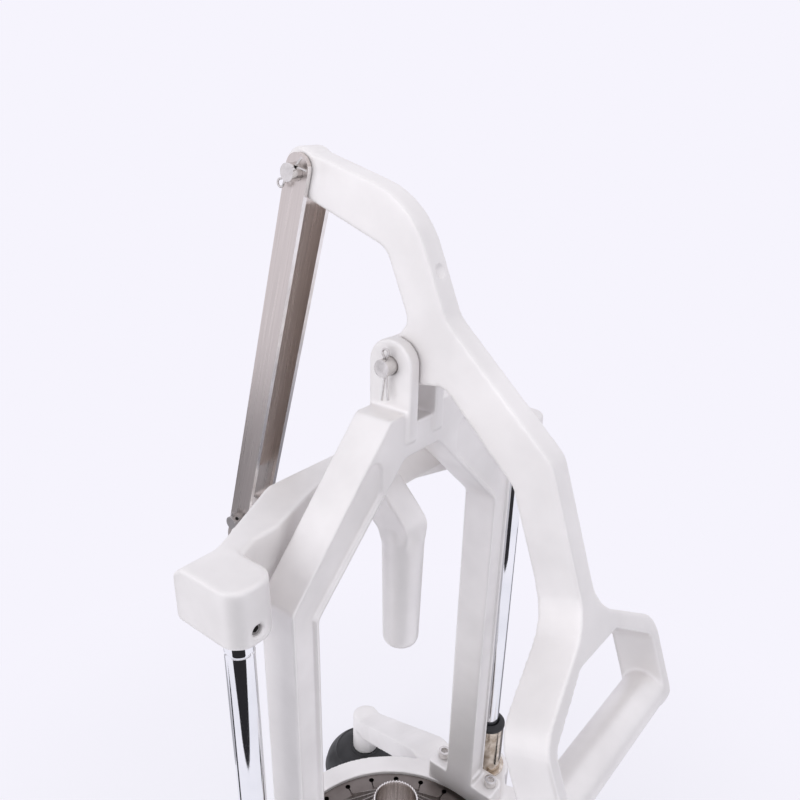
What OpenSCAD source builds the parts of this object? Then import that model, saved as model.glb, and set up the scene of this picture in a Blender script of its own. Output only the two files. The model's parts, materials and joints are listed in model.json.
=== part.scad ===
// Onion blossom cutter: a hand lever lowers a pusher, and an onion, onto a tent of radial blades.
// Millimetres. Z is up from the table, X runs from the link to the hand grip, rods stand along Y.

/* [Stand] */
// Height of the deck above the table
deck_h = 118; // [114:1:130]
// Depth of the ring and of the pads beside it
deck_t = 20; // [18:1:24]
// Outer radius of the ring
ring_r = 82; // [79:1:88]
// Radius of the seat for the blade ring
bore_r = 68; // [66.5:0.5:69]
// Radius of the clear hole under the blades
ledge_r = 61; // [60:0.5:63]
// Foot position along X
foot_x = 131; // [120:1:140]
// Foot position along Y
foot_y = 126; // [118:1:135]
// Height of the leg top over the foot
leg_end_h = 58; // [52:1:66]
// Thickness of a leg at the foot
leg_t = 11; // [8:1:14]
// Width of a leg at the ring
leg_root_w = 26; // [22:1:30]
// Width of a leg at the foot
leg_tip_w = 20; // [18:1:26]
// Radius of the boss that carries a foot
foot_boss_r = 10.5; // [10:0.5:14]
// Radius of a suction cup at the table
cup_r = 35; // [28:1:38]
// Height of a suction cup
cup_h = 23; // [18:1:28]
// Diameter of a cup stud
stud_d = 6; // [5:0.5:8]
// Length of a stud inside a cup
stud_in_cup = 9; // [7:0.5:11]
// Length of a stud inside a leg
stud_in_leg = 16; // [12:1:20]

/* [Bearings] */
// Distance of each guide rod from the middle
rod_y = 100; // [98:1:104]
// Diameter of a guide rod
rod_d = 12; // [10:0.5:13]
// Outer diameter of a bearing sleeve
sleeve_d = 20; // [19:0.5:22]
// Height of a sleeve above the deck
sleeve_up = 37; // [28:1:42]
// Wall of the bush inside a sleeve
bush_t = 2; // [1.5:0.25:2.5]
// Radius of the boss round a sleeve
sleeve_boss_r = 16; // [15:0.5:18]
// Height of a wiper seal
seal_h = 4; // [3:0.5:9]
// Thickness of a retaining ring
clip_t = 1.6; // [1.2:0.1:2]

/* [Frame] */
// Inner faces of the posts
post_y = 66; // [65.5:0.5:67]
// Post size along Y
post_t = 15; // [13:0.5:16]
// Post size along X
post_w = 19; // [17:0.5:20]
// Height of the inner bend
bend_h = 343; // [335:1:348]
// Slope of the arms from level
arm_slope = 44.4; // [43:0.2:46]
// Taper of the arms from the hub to the posts
arm_taper = 2.8; // [1:0.2:4]
// Depth of the hub between the arms
hub_t = 20.3; // [18:0.1:22]
// Rim beside the channel in the arch
channel_rim = 2; // [1.4:0.2:4]
// Depth of the channel in the arch
channel_d = 2; // [1:0.1:3]
// Height of the lever pivot
pivot_h = 435; // [432:1:440]
// Width of an ear
ear_w = 22; // [20:0.5:24]
// Thickness of an ear
ear_t = 6; // [5:0.5:7]
// Thickness of a foot flange
flange_t = 14; // [11:0.5:16]
// Half length of a foot flange
flange_x = 24; // [22:0.5:26]
// Reach of a foot flange along Y
flange_w = 18; // [16.5:0.5:19]
// Frame bolt position along X
bolt_x = 18; // [16.5:0.5:19]
// Frame bolt diameter
bolt_d = 5; // [4:0.5:6]

/* [Blade pack] */
// Number of blades
blade_count = 24; // [16:2:28]
// Blade thickness
blade_t = 0.7; // [0.5:0.1:0.9]
// Width of the blade ring
blade_ring_w = 11.6; // [11:0.2:12.4]
// Thickness of the blade ring
blade_ring_t = 10; // [8:0.5:12]
// Depth of the blade ring below the deck
blade_ring_drop = 2; // [1.5:0.25:3]
// Diameter of the hole at the end of each slot
slot_hole_d = 3.4; // [2.5:0.1:4]
// Outer diameter of the core tube
core_d = 25.6; // [22:0.2:26]
// Wall of the core tube
core_t = 0.9; // [0.7:0.1:1.2]
// Height of the core tube above the deck
core_up = 56; // [48:1:62]

/* [Lever] */
// Thickness of the lever
lever_t = 11.4; // [10.5:0.1:11.6]
// Diameter of every pivot pin
pin_d = 7.5; // [6.5:0.25:8.5]
// Link pin position along X from the pivot
link_pin_x = -54; // [-55:0.5:-53]
// Link pin height above the pivot
link_pin_up = 70.8; // [70:0.2:71.6]
// Swing of the lever from rest to full stroke
lever_swing = 66; // [60:1:67]
// Half width of the hand grip
grip_y = 50; // [48:1:56]
// Thickness of a grip leg
grip_leg_t = 6.5; // [5:0.5:16]
// Diameter of the hand bar
hand_bar_d = 19; // [17:0.2:21]
// Distance from the fork to the hand bar
hand_bar_u = 62; // [59:1:68]

/* [Link] */
// Lower pin position along X
knuckle_x = -110; // [-112:0.5:-105]
// Lower pin height at rest
knuckle_h = 318; // [315:0.5:321]
// Link size across the sheet edges
link_w = 13; // [12:0.5:16]
// Sheet thickness of the link
link_t = 2.2; // [1.5:0.1:2.4]
// Play between the lever and each cheek
cheek_play = 0.9; // [0.35:0.05:1.2]

/* [Carriage] */
// Height of the yoke underside at rest
yoke_h = 362; // [360:1:364]
// Depth of the yoke
yoke_t = 17; // [14:0.5:18]
// Depth of a rod block
block_t = 25.5; // [20:0.5:27]
// Half width of a rod block along Y
block_y = 11; // [10:0.5:12]
// Height of the pusher tip at rest
pusher_h = 280; // [276:1:290]
// Pusher diameter at the top
pusher_top_d = 20.4; // [19:0.2:22]
// Pusher diameter near the tip
pusher_tip_d = 17.8; // [16:0.2:19]
// Thickness of the tail that carries the lower pin
tail_t = 11.2; // [10:0.1:11.4]
// Diameter of a clamp screw
screw_d = 5; // [4:0.5:7]

/* [Hidden] */

// Clearances
running = 0.05;
seated = 0.02;
hole_play = 0.3;
slot_play = 1.25;

// Derived heights and radii
deck_low = deck_h - deck_t;
seat_h = deck_h - blade_ring_drop - blade_ring_t;
blade_ring_top = deck_h - blade_ring_drop;
core_top = deck_h + core_up;
rod_low = deck_low + 2;
block_top = yoke_h + yoke_t + 0.4;
block_low = block_top - block_t;
sleeve_low = deck_low - 6;
sleeve_h = deck_h + sleeve_up - sleeve_low;
slot_r = bore_r - 4;
ear_in = lever_t / 2 + 0.5;
ear_out = ear_in + ear_t;
bolt_y = post_y + flange_w / 2 + 1;
bolt_head_h = bolt_d * 0.9;
cheek_in = lever_t / 2 + cheek_play;
cheek_out = cheek_in + link_t;
pin_reach = 5.6;
cotter_d = 2;
upper_turn = -125;
lower_turn = 41;

// Arch: the arms rise to the hub, which stays under the pivot, and the pusher neck dips under the hub
arm_rise = tan(arm_slope);
top_rise = tan(arm_slope + arm_taper);
post_out = post_y + post_t;
out_bend = bend_h + post_t * tan((90 - arm_slope) / 2) + 3.5;
hub_drop = 39;
hub_low = min(bend_h + (post_y - ear_out) * arm_rise, pivot_h - hub_drop);
hub_top = hub_low + hub_t;
hub_y = post_y - (hub_low - bend_h) / arm_rise;
shoulder_y = post_out - (hub_top - out_bend) / top_rise;
sill = hub_low + post_t;
neck_h = min(yoke_h, hub_low - yoke_t - 2);

// Linkage: with the joints turning in step the lower pin wanders along a slot in the tail
pivot = [0, pivot_h];
link_pin = [link_pin_x, pivot_h + link_pin_up];
knuckle = [knuckle_x, knuckle_h];
link_len = norm(link_pin - knuckle);
crank_r = norm([link_pin_x, link_pin_up]);
crank_a = atan2(link_pin_up, link_pin_x);
link_ease = 2.7;
function pin_at(a) = pivot + crank_r * [cos(crank_a + a), sin(crank_a + a)];
function tilt_at(a) = asin((pin_at(a)[0] - knuckle_x) / link_len);
function knuckle_at(a) = pin_at(a)[1] - link_len * cos(tilt_at(a));
function mix(p, q, k) = p + (q - p) * k;
tilt_rest = tilt_at(0);
tilt_end = tilt_at(lever_swing) - link_ease;
function slip_at(k) = pin_at(k * lever_swing) - [knuckle_x, mix(knuckle_h, knuckle_at(lever_swing), k)]
    - link_len * [sin(mix(tilt_rest, tilt_end, k)), cos(mix(tilt_rest, tilt_end, k))];
slot_in = knuckle + slip_at(1) - [0, 0.7];
slot_out = knuckle + slip_at(0.42) - [0, 0.7];

// Lever outline, measured from the pivot
fork = [85, -87.5];
elbow = [63.5, -31];
grip_dir = (fork - elbow) / norm(fork - elbow);
grip_tilt = atan2(-grip_dir[1], grip_dir[0]);
bar_half = hand_bar_d / 2 + 0.1;
grip_w = hand_bar_d + 1;
grip_root = lever_t / 2 - 0.3;
grip_end = hand_bar_u + grip_w / 2 + 1;
end_dir = [0.955, -0.297];
end_up = [0.297, 0.955];
pin_end = [link_pin_x, link_pin_up];

// Points of an arc that rounds the corner p between a and b
function unit(v) = v / norm(v);
function corner(p, a, b, r, n) =
    let (u = unit(a - p), v = unit(b - p), h = acos(u * v) / 2, c = p + unit(u + v) * r / sin(h),
        s = p + u * r / tan(h) - c, e = p + v * r / tan(h) - c,
        s_a = atan2(s[1], s[0]), turn = atan2(s[0] * e[1] - s[1] * e[0], s * e))
    [for (i = [0:n]) c + r * [cos(s_a + turn * i / n), sin(s_a + turn * i / n)]];

// Outline through points [x, y, corner radius]
function rounded(q, n = 6) = [for (i = [0:len(q) - 1])
    let (m = len(q), p = [q[i][0], q[i][1]], a = q[(i + m - 1) % m], b = q[(i + 1) % m])
    each q[i][2] > 0 ? corner(p, [a[0], a[1]], [b[0], b[1]], q[i][2], n) : [p]];

// Outline of a bar between two round ends
function bar(a, ra, b, rb, n = 10) =
    let (t = atan2(b[1] - a[1], b[0] - a[0]), k = acos((ra - rb) / norm(b - a)))
    concat([for (i = [0:n]) a + ra * [cos(t + k + (360 - 2 * k) * i / n),
            sin(t + k + (360 - 2 * k) * i / n)]],
        [for (i = [0:n]) b + rb * [cos(t - k + 2 * k * i / n), sin(t - k + 2 * k * i / n)]]);

module both_sides() {
    children();
    mirror([0, 1, 0]) children();
}

module four_corners() {
    both_sides() {
        children();
        mirror([1, 0, 0]) children();
    }
}

// Flat outline in X and Z, thickness along Y
module upright(t) {
    rotate([90, 0, 0]) linear_extrude(height = t, center = true) children();
}

// Round bar along Y through a point in X and Z
module cross_bar(p, r, y0, y1) {
    translate([p[0], y0, p[1]]) rotate([-90, 0, 0]) cylinder(r = r, h = y1 - y0, $fn = 48);
}

// Leg that falls from the ring to one foot
leg_root = [40, 88.5];
leg_run = norm([foot_x, foot_y] - leg_root);
leg_turn = atan2(foot_y - leg_root[1], foot_x - leg_root[0]);
module leg() {
    translate([leg_root[0], leg_root[1], 0]) rotate([0, 0, leg_turn]) intersection() {
        linear_extrude(height = deck_h)
            polygon(rounded([[-24, -leg_root_w / 2, 0], [0, -leg_root_w / 2, 0],
                [leg_run + leg_tip_w / 2, -leg_tip_w / 2, leg_tip_w / 2 - 0.5],
                [leg_run + leg_tip_w / 2, leg_tip_w / 2, leg_tip_w / 2 - 0.5],
                [0, leg_root_w / 2, 0], [-24, leg_root_w / 2, 0]]));
        upright(leg_root_w + 4)
            polygon(rounded([[-24, deck_h - 0.8, 0], [0, deck_h - 0.8, 20], [leg_run - 6, leg_end_h + 2, 16],
                [leg_run + 16, leg_end_h, 0], [leg_run + 16, leg_end_h - leg_t, 0],
                [leg_run - 14, leg_end_h - leg_t, 14], [0, deck_low + 2, 14], [-24, deck_low + 2, 0]]));
    }
    translate([foot_x, foot_y, cup_h]) cylinder(r = foot_boss_r, h = leg_end_h - cup_h - 1, $fn = 48);
}

// Ring, bearing pads and legs in one casting
module base_casting() {
    pad_x = flange_x + 1;
    color("whitesmoke") difference() {
        union() {
            translate([0, 0, deck_low]) cylinder(r = ring_r, h = deck_t, $fn = 96);
            both_sides() {
                translate([0, rod_y, deck_low]) cylinder(r = sleeve_boss_r, h = deck_t, $fn = 64);
                translate([0, 0, deck_low]) linear_extrude(height = deck_t)
                    polygon(rounded([[-pad_x, post_y - 2, 0], [pad_x, post_y - 2, 0],
                        [pad_x, post_y + flange_w + 1, 8], [14, rod_y + 4, 4], [-14, rod_y + 4, 4],
                        [-pad_x, post_y + flange_w + 1, 8]]));
            }
            four_corners() leg();
        }
        translate([0, 0, seat_h]) cylinder(r = bore_r, h = deck_t, $fn = 96);
        translate([0, 0, deck_low - 1]) cylinder(r = ledge_r, h = deck_t + 2, $fn = 96);
        both_sides() {
            translate([0, rod_y, deck_low - 1])
                cylinder(r = sleeve_d / 2 + seated, h = deck_t + 2, $fn = 64);
            for (s = [-1, 1]) translate([s * bolt_x, bolt_y, deck_low - 1])
                cylinder(r = bolt_d / 2 + seated, h = deck_t + 2, $fn = 32);
        }
        four_corners() translate([foot_x, foot_y, cup_h - 1])
            cylinder(r = stud_d / 2 + seated, h = stud_in_leg + 2, $fn = 32);
    }
}

// Rubber cups, hollow underneath
module suction_cups() {
    color([0.08, 0.08, 0.08]) four_corners() translate([foot_x, foot_y, 0]) difference() {
        rotate_extrude($fn = 72) polygon(concat([[0, cup_h]], [for (a = [0:15:90])
            [mix(foot_boss_r + 2, cup_r, sin(a)), mix(2, cup_h, cos(a))]], [[cup_r, 0], [cup_r - 3, 0],
            [foot_boss_r + 6, cup_h * 0.3], [0, cup_h * 0.38]]));
        translate([0, 0, cup_h - stud_in_cup - 1])
            cylinder(r = stud_d / 2 + seated, h = stud_in_cup + 2, $fn = 32);
    }
}

// Studs that join cups and legs
module cup_studs() {
    color("silver") four_corners() translate([foot_x, foot_y, cup_h - stud_in_cup])
        cylinder(r = stud_d / 2, h = stud_in_cup + stud_in_leg, $fn = 32);
}

// Flat channel in the face of one post and its arm
module arch_channel() {
    foot = deck_h + flange_t + 3;
    end_y = shoulder_y + 4.5;
    out_a = arm_slope + arm_taper;
    out_y = post_out - channel_rim;
    in_y = post_y + channel_rim;
    top = out_bend + (post_out - end_y) * top_rise - channel_rim / cos(out_a);
    low = bend_h + (post_y - end_y) * arm_rise + channel_rim / cos(arm_slope);
    rotate([90, 0, 90]) linear_extrude(height = post_w)
        polygon(rounded([[in_y, foot, 2], [out_y, foot, 2],
            [out_y, out_bend - channel_rim * (1 - sin(out_a)) / cos(out_a), 3],
            [end_y, top, 5], [end_y, low, 5],
            [in_y, bend_h + channel_rim * (1 - sin(arm_slope)) / cos(arm_slope), 2]]));
}

// Arch with two posts, sloping arms, ears for the pivot and foot flanges
module frame_arch() {
    color("whitesmoke") difference() {
        union() {
            rotate([90, 0, 90]) linear_extrude(height = post_w, center = true)
                polygon(rounded([[post_out, deck_h, 0], [post_out, out_bend, 5], [shoulder_y, hub_top, 3],
                    [ear_in, hub_top, 0], [ear_in, sill, 0], [-ear_in, sill, 0], [-ear_in, hub_top, 0],
                    [-shoulder_y, hub_top, 3], [-post_out, out_bend, 5], [-post_out, deck_h, 0],
                    [-post_y, deck_h, 0], [-post_y, bend_h, 5], [-hub_y, hub_low, 4],
                    [hub_y, hub_low, 4], [post_y, bend_h, 5], [post_y, deck_h, 0]]));
            both_sides() {
                translate([0, ear_in + ear_t / 2, 0]) upright(ear_t)
                    polygon(rounded([[-ear_w / 2, sill - 8, 0], [ear_w / 2, sill - 8, 0],
                        [ear_w / 2, pivot_h + ear_w / 2, ear_w / 2 - 0.1],
                        [-ear_w / 2, pivot_h + ear_w / 2, ear_w / 2 - 0.1]], 12));
                translate([0, 0, deck_h]) linear_extrude(height = flange_t)
                    polygon(rounded([[-flange_x, post_y, 2], [flange_x, post_y, 2],
                        [flange_x, post_y + flange_w, 6], [-flange_x, post_y + flange_w, 6]]));
            }
        }
        cross_bar(pivot, pin_d / 2 + seated, -ear_out - 1, ear_out + 1);
        four_corners() translate([post_w / 2 - channel_d, 0, 0]) arch_channel();
        both_sides() for (s = [-1, 1]) translate([s * bolt_x, bolt_y, deck_h - 1])
            cylinder(r = bolt_d / 2 + hole_play, h = flange_t + 2, $fn = 32);
    }
}

// Socket head bolts through the foot flanges
module frame_bolts() {
    color("silver") four_corners() translate([bolt_x, bolt_y, 0]) difference() {
        union() {
            translate([0, 0, deck_low + 2]) cylinder(r = bolt_d / 2, h = deck_t + flange_t, $fn = 32);
            translate([0, 0, deck_h + flange_t]) cylinder(r = bolt_d * 0.78, h = bolt_head_h, $fn = 48);
        }
        translate([0, 0, deck_h + flange_t + bolt_head_h * 0.45])
            linear_extrude(height = bolt_head_h) circle(r = bolt_d * 0.48, $fn = 6);
    }
}

// Stainless ring with a slot and a round relief for every blade
module blade_ring() {
    color([0.42, 0.43, 0.44]) difference() {
        translate([0, 0, seat_h]) cylinder(r = bore_r - 0.1, h = blade_ring_t, $fn = 96);
        translate([0, 0, seat_h - 1]) cylinder(r = bore_r - blade_ring_w, h = blade_ring_t + 2, $fn = 96);
        for (i = [0:blade_count - 1]) rotate([0, 0, (i + 0.5) * 360 / blade_count]) {
            translate([bore_r - blade_ring_w - 2, -blade_t / 2 - 0.05, seat_h + 2])
                cube([slot_r - bore_r + blade_ring_w + 2, blade_t + 0.1, blade_ring_t]);
            translate([slot_r, 0, seat_h + 2]) cylinder(r = slot_hole_d / 2, h = blade_ring_t, $fn = 24);
        }
    }
}

// Thin tube in the middle, bevelled to an edge at the top
module core_tube() {
    color([0.45, 0.46, 0.47]) rotate_extrude($fn = 72)
        polygon([[core_d / 2 - core_t, seat_h + 2], [core_d / 2, seat_h + 2], [core_d / 2, core_top - 3],
            [core_d / 2 - core_t + 0.15, core_top], [core_d / 2 - core_t, core_top]]);
}

// Radial blades whose edges fall from the core tube to the ring
module slicing_blades() {
    color([0.5, 0.5, 0.51]) for (i = [0:blade_count - 1]) rotate([0, 0, (i + 0.5) * 360 / blade_count])
        upright(blade_t) polygon([[core_d / 2 + seated, core_top - 5],
            [bore_r - blade_ring_w - 1, blade_ring_top + 3], [slot_r - slot_hole_d / 2, blade_ring_top - 1],
            [slot_r - slot_hole_d / 2, seat_h + 2.05], [core_d / 2 + seated, seat_h + 2.05]]);
}

// Nickel plated sleeves standing on the deck
module bearing_sleeves() {
    color("silver") both_sides() translate([0, rod_y, 0]) difference() {
        translate([0, 0, sleeve_low]) cylinder(r = sleeve_d / 2, h = sleeve_h, $fn = 64);
        translate([0, 0, sleeve_low - 1])
            cylinder(r = rod_d / 2 + bush_t + seated, h = sleeve_h + 2, $fn = 64);
        for (h = [deck_h, deck_low - clip_t]) translate([0, 0, h]) difference() {
            cylinder(r = sleeve_d / 2 + 1, h = clip_t + 0.1, $fn = 64);
            translate([0, 0, -1]) cylinder(r = sleeve_d / 2 - 0.6, h = clip_t + 3, $fn = 64);
        }
    }
}

// Plain bushes that the rods run in
module bearing_bushes() {
    color("peru") both_sides() translate([0, rod_y, sleeve_low]) difference() {
        cylinder(r = rod_d / 2 + bush_t, h = sleeve_h, $fn = 64);
        translate([0, 0, -1]) cylinder(r = rod_d / 2 + running, h = sleeve_h + 2, $fn = 64);
    }
}

// Black wipers on the sleeve tops
module wiper_seals() {
    color([0.07, 0.07, 0.07]) both_sides() translate([0, rod_y, deck_h + sleeve_up]) rotate_extrude($fn = 64)
        polygon([[rod_d / 2 + running, 0], [sleeve_d / 2 + 0.4, 0], [sleeve_d / 2 + 0.4, seal_h - 2],
            [sleeve_d / 2 - 1, seal_h - 0.6], [rod_d / 2 + 1, seal_h], [rod_d / 2 + running, seal_h - 1.6]]);
}

// Open spring rings that hold the sleeves above and below the deck
module retaining_rings() {
    color("gainsboro") both_sides() for (h = [deck_h, deck_low - clip_t])
        translate([0, rod_y, h]) difference() {
            union() {
                cylinder(r = sleeve_d / 2 + 2.4, h = clip_t, $fn = 64);
                for (a = [-14, 14]) rotate([0, 0, a - 60]) translate([sleeve_d / 2 + 2.6, 0, 0])
                    cylinder(r = 2.2, h = clip_t, $fn = 24);
            }
            translate([0, 0, -1]) cylinder(r = sleeve_d / 2 - 0.6 + seated, h = clip_t + 2, $fn = 64);
            for (a = [-14, 14]) rotate([0, 0, a - 60]) translate([sleeve_d / 2 + 2.6, 0, -1])
                cylinder(r = 0.9, h = clip_t + 2, $fn = 24);
            rotate([0, 0, -60]) translate([0, -1.4, -1]) cube([sleeve_d, 2.8, clip_t + 2]);
        }
}

// Headed pin along Y, cross drilled at the near end for a cotter turned by a
module headed_pin(p, y, a) {
    color("silver") difference() {
        union() {
            cross_bar(p, pin_d / 2, -y - pin_reach, y + 0.4);
            cross_bar(p, pin_d / 2 + 2.2, y + 0.3, y + 3.3);
        }
        translate([p[0], -y - pin_reach / 2, p[1]]) rotate([0, a, 0])
            cylinder(r = cotter_d / 2 + running, h = pin_d * 2, center = true, $fn = 24);
    }
}

// Split cotter: an eye on one side of the pin and two spread legs on the other
module split_cotter(p, y, a, legs) {
    wire = cotter_d / 2 * 0.82;
    eye = pin_d / 2 + 2.6;
    color("gainsboro") translate([p[0], -y - pin_reach / 2, p[1]]) rotate([0, a, 0]) {
        translate([0, 0, -pin_d / 2 - 1]) cylinder(r = cotter_d / 2, h = pin_d + 2, $fn = 24);
        translate([0, 0, eye]) rotate([90, 0, 0]) rotate_extrude($fn = 40)
            translate([2, 0]) circle(r = wire, $fn = 16);
        for (s = [-1, 1]) translate([s * 0.3, 0, -pin_d / 2 - 0.6]) rotate([0, 180 + s * 14, 0])
            cylinder(r = wire, h = legs, $fn = 16);
    }
}

module pivot_pin() {
    headed_pin(pivot, ear_out, 0);
}

module pivot_cotter() {
    split_cotter(pivot, ear_out, 0, 11);
}

// Lever with its link end, pivot boss and spade grip in one casting
module lever_arm() {
    near = grip_dir;
    side = [-grip_dir[1], grip_dir[0]];
    a = pin_end - 9 * end_dir + 8.5 * end_up;
    b = pin_end - 9 * end_dir - 8.8 * end_up;
    c = fork + 8 * near + bar_half * side;
    d = fork + 8 * near - bar_half * side;
    color("whitesmoke") difference() {
        union() {
            translate([0, 0, pivot_h]) upright(lever_t) polygon(rounded([[a[0], a[1], 8.3], [3.2, 64.3, 40],
                [22, 21, 16], [72.5, -23.8, 14], [c[0], c[1], 0], [d[0], d[1], 0], [57, -38.5, 12],
                [22.5, -6, 8], [4, -9, 0], [-8, 2, 0], [3.5, 17.5, 5], [-8.5, 44.8, 10],
                [b[0], b[1], 8.3]], 8));
            cross_bar(pivot, 11, -lever_t / 2, lever_t / 2);
            translate([fork[0], 0, pivot_h + fork[1]]) rotate([0, grip_tilt, 0]) {
                intersection() {
                    linear_extrude(height = grip_w + 2, center = true) difference() {
                        polygon(rounded([[-14, -grip_root, 0], [0, -grip_root, 22], [27, -grip_y, 16],
                            [grip_end, -grip_y, 6], [grip_end, grip_y, 6], [27, grip_y, 16],
                            [0, grip_root, 22], [-14, grip_root, 0]]));
                        polygon(rounded([[15, -16, 3], [15, 16, 3], [33, grip_y - grip_leg_t, 6],
                            [grip_end + 10, grip_y - grip_leg_t, 0], [grip_end + 10, grip_leg_t - grip_y, 0],
                            [33, grip_leg_t - grip_y, 6]]));
                    }
                    upright(2 * grip_y + 2)
                        polygon(bar([-12, 0], grip_w / 2, [hand_bar_u, 0], grip_w / 2, 24));
                }
                cross_bar([hand_bar_u, 0], hand_bar_d / 2, grip_leg_t / 2 - grip_y, grip_y - grip_leg_t / 2);
            }
        }
        cross_bar(pivot, pin_d / 2 + running, -lever_t, lever_t);
        cross_bar(link_pin, pin_d / 2 + seated, -lever_t, lever_t);
    }
}

module upper_link_pin() {
    headed_pin(link_pin, cheek_out, upper_turn);
}

module upper_cotter() {
    split_cotter(link_pin, cheek_out, upper_turn, 5);
}

// Folded channel: two cheeks with round ends and a web cut back at both ends
module link_channel() {
    web_top = 17;
    web_low = 30;
    half = link_w / 2;
    color([0.6, 0.6, 0.6]) translate([link_pin[0], 0, link_pin[1]])
        rotate([0, 90 + tilt_rest, 0]) difference() {
        union() {
            both_sides() translate([0, cheek_in + link_t / 2, 0]) upright(link_t)
                polygon(rounded([[-half - 1, -half, half - 0.2], [link_len + half + 1, -half, half - 0.2],
                    [link_len + half + 1, half, half - 0.2], [-half - 1, half, half - 0.2]], 10));
            translate([web_top, -cheek_out, -half])
                cube([link_len - web_top - web_low, 2 * cheek_out, link_t]);
        }
        for (s = [0, link_len])
            cross_bar([s, 0], pin_d / 2 + (s > 0 ? seated : running), -cheek_out - 1, cheek_out + 1);
    }
}

module lower_link_pin() {
    headed_pin(knuckle, cheek_out, lower_turn);
}

module lower_cotter() {
    split_cotter(knuckle, cheek_out, lower_turn, 5);
}

// Yoke behind the arch with rod blocks, pusher and the slotted tail for the lower pin
module carriage_yoke() {
    back = -41;
    front = -24.5;
    pass = -post_w / 2 - 1.5;
    lug_r = pin_d / 2 + slot_play + 3.2;
    slot_w = pin_d / 2 + slot_play;
    color("whitesmoke") difference() {
        union() {
            translate([0, 0, yoke_h]) linear_extrude(height = yoke_t)
                polygon(rounded([[-15, -rod_y, 0], [back, -46, 10], [back, 46, 10], [-15, rod_y, 0],
                    [-4, rod_y - 3, 0], [pass, post_out, 0], [front, 50, 12], [front, -50, 12],
                    [pass, -post_out, 0], [-4, 3 - rod_y, 0]]));
            upright(2 * post_out - 2)
                polygon([[front - 1, yoke_h], [front + 11, yoke_h], [front - 1, yoke_h + yoke_t]]);
            both_sides() translate([0, rod_y, block_low]) intersection() {
                linear_extrude(height = block_t) polygon(rounded([[-24.5, -block_y, 4], [12.5, -block_y, 9],
                    [12.5, block_y, 9], [-24.5, block_y, 4]]));
                upright(2 * block_y + 2) polygon(rounded([[-26, -1, 0], [14, -1, 0], [14, block_t, 3],
                    [-17, block_t, 6], [-26, block_t - 7.5, 0]]));
            }
            upright(pusher_top_d - 4.4) polygon(rounded([[back + 4, yoke_h, 0], [front + 2, yoke_h, 8],
                [-9.4, neck_h - 10, 6], [-8, neck_h - 16, 3], [8, neck_h - 16, 3], [8.8, neck_h - 5, 8],
                [-9, neck_h + yoke_t - 3, 5], [back + 4, yoke_h + yoke_t - 3, 0]]));
            rotate_extrude($fn = 64) polygon(concat([[0, neck_h - 4], [pusher_top_d / 2 - 4, neck_h - 4],
                [pusher_top_d / 2 - 1.3, neck_h - 8], [pusher_top_d / 2, neck_h - 13]],
                [for (i = [0:6]) [pusher_tip_d / 2 - 4 + 4 * cos(15 * i), pusher_h + 4 - 4 * sin(15 * i)]],
                [[0, pusher_h]]));
            upright(tail_t) {
                polygon(bar([back + 7, yoke_h + 8.5], 8.5, slot_in, lug_r));
                polygon(bar(slot_in, lug_r, knuckle + [-2, 0.5], lug_r));
            }
        }
        upright(tail_t + 2) polygon(bar(slot_in, slot_w, mix(slot_in, slot_out, 1.8), slot_w));
        both_sides() {
            translate([0, rod_y, block_low - 1]) cylinder(r = rod_d / 2 + seated, h = block_t - 5, $fn = 64);
            translate([0, rod_y, block_low + 6]) rotate([0, 90, 0])
                cylinder(r = screw_d / 2 + seated, h = 20, $fn = 32);
        }
    }
}

// Chromed rods clamped in the blocks
module guide_rods() {
    color([0.85, 0.86, 0.88]) both_sides() translate([0, rod_y, rod_low])
        cylinder(r = rod_d / 2, h = block_top - 6.1 - rod_low, $fn = 64);
}

// Socket set screws against the rods
module clamp_screws() {
    color("dimgray") both_sides() translate([rod_d / 2 + seated, rod_y, block_low + 6]) rotate([0, 90, 0])
        difference() {
            cylinder(r = screw_d / 2, h = 4.4, $fn = 32);
            translate([0, 0, 1.8]) linear_extrude(height = 4) circle(r = screw_d * 0.3, $fn = 6);
        }
}

base_casting();
suction_cups();
cup_studs();
frame_arch();
frame_bolts();
blade_ring();
core_tube();
slicing_blades();
bearing_sleeves();
bearing_bushes();
wiper_seals();
retaining_rings();
pivot_pin();
pivot_cotter();
lever_arm();
upper_link_pin();
upper_cotter();
link_channel();
lower_link_pin();
lower_cotter();
carriage_yoke();
guide_rods();
clamp_screws();
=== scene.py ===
import json
import math
import bpy
from mathutils import Matrix, Vector


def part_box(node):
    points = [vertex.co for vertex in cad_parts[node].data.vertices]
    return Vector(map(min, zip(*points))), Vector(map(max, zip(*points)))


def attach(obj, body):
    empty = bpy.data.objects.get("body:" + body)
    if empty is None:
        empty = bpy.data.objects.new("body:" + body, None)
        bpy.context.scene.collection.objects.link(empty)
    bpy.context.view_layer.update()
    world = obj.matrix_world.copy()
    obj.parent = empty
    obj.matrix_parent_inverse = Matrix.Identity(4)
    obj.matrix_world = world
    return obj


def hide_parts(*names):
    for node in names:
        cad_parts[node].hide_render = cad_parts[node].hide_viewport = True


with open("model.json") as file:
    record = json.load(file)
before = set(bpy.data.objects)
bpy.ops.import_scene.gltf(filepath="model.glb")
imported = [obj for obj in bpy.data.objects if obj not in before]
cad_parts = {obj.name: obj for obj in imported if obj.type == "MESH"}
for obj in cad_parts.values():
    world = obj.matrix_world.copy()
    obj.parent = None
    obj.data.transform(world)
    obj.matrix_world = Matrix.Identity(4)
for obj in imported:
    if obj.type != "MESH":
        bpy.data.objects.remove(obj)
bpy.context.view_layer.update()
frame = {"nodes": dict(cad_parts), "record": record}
nodes = frame["nodes"]
bodies = frame["record"]["behaviour"]["bodies"]
bodyOf = {member: body for body, members in bodies.items() for member in members}
mm = 0.001
print("frame loaded,", len(nodes), "nodes")


# small helpers
def hexColor(code):
    parts = [int(code[i:i + 2], 16) / 255 for i in (1, 3, 5)]
    return [p / 12.92 if p <= 0.04045 else ((p + 0.055) / 1.055) ** 2.4 for p in parts] + [1]


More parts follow.
